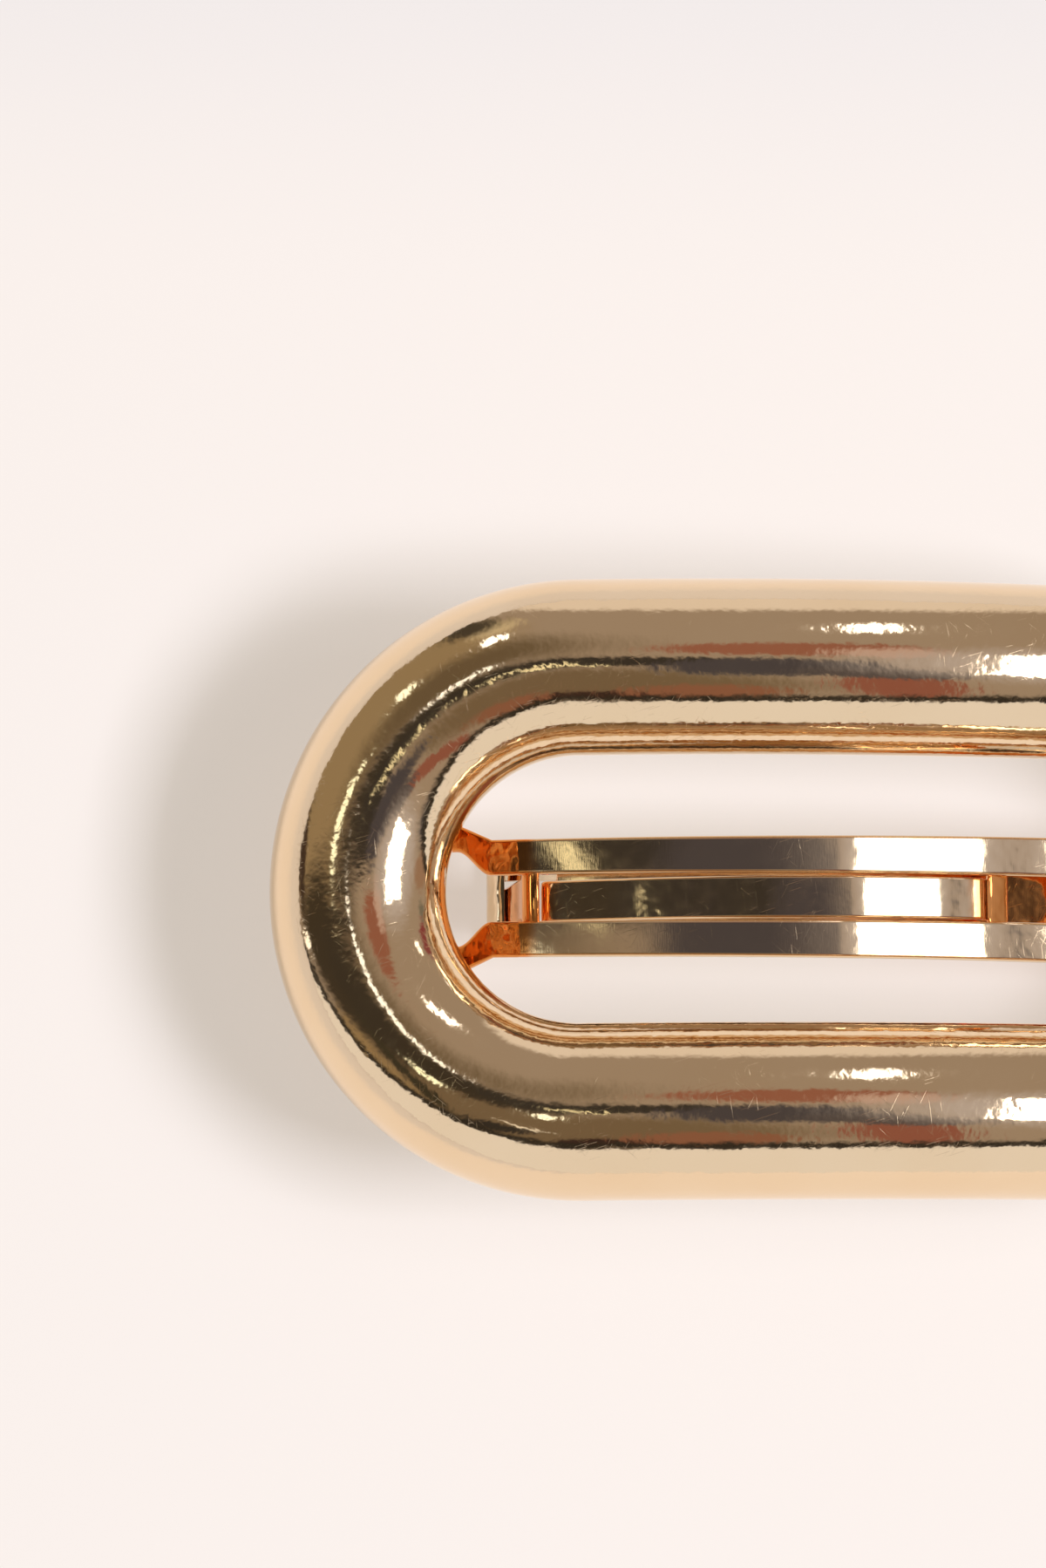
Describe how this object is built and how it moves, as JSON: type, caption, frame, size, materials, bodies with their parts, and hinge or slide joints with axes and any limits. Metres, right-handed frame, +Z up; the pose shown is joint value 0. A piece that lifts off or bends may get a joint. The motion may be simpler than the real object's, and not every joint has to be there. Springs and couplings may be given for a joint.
{
  "type": "hair clip",
  "caption": "Gilt hair clip: an arched stadium ring on a sprung barrette fitting with a hinged arm that snaps shut over a catch lip.",
  "frame": {"origin": "middle of the clip's box at its lowest level, where the ears and the catch lip stand", "axes": "+X along the clip from the catch to the hinge, +Y across it, +Z up to the show side"},
  "size_m": [0.0732, 0.038, 0.0211],
  "materials": {
    "ring_gilding": "moulded plastic, mirror gold plating with light orange peel and hairline scratches",
    "plate_gilding": "stamped steel, tumbled, bright gold plating",
    "arm_gilding": "stamped steel, bright gold plating",
    "spring_gilding": "spring steel strip, bright gold plating with fine rolling grain",
    "pin_gilding": "steel wire, gold plating",
    "rivet_gilding": "steel, gold plating"
  },
  "bodies": {
    "base": {"ring": "ring_gilding", "base_plate": "plate_gilding", "hinge_pin": "pin_gilding", "base_rivet_1": "rivet_gilding", "base_rivet_2": "rivet_gilding", "base_rivet_3": "rivet_gilding", "base_rivet_4": "rivet_gilding"},
    "arm": {"closing_arm": "arm_gilding"},
    "spring": {"tension_spring": "spring_gilding"}
  },
  "joints": [
    {"name": "arm_hinge", "type": "hinge", "parent": "base", "child": "arm", "pos_m": [0.0256, 0, 0.00185], "axis": [0, -1, 0], "range_deg": [0, 65]},
    {"name": "spring_flex", "type": "hinge", "parent": "base", "child": "spring", "pos_m": [0.0077, 0, 0.00958], "axis": [0, 1, 0], "range_deg": [0, 6], "stiffness_Nm_per_rad": 0.2}
  ]
}
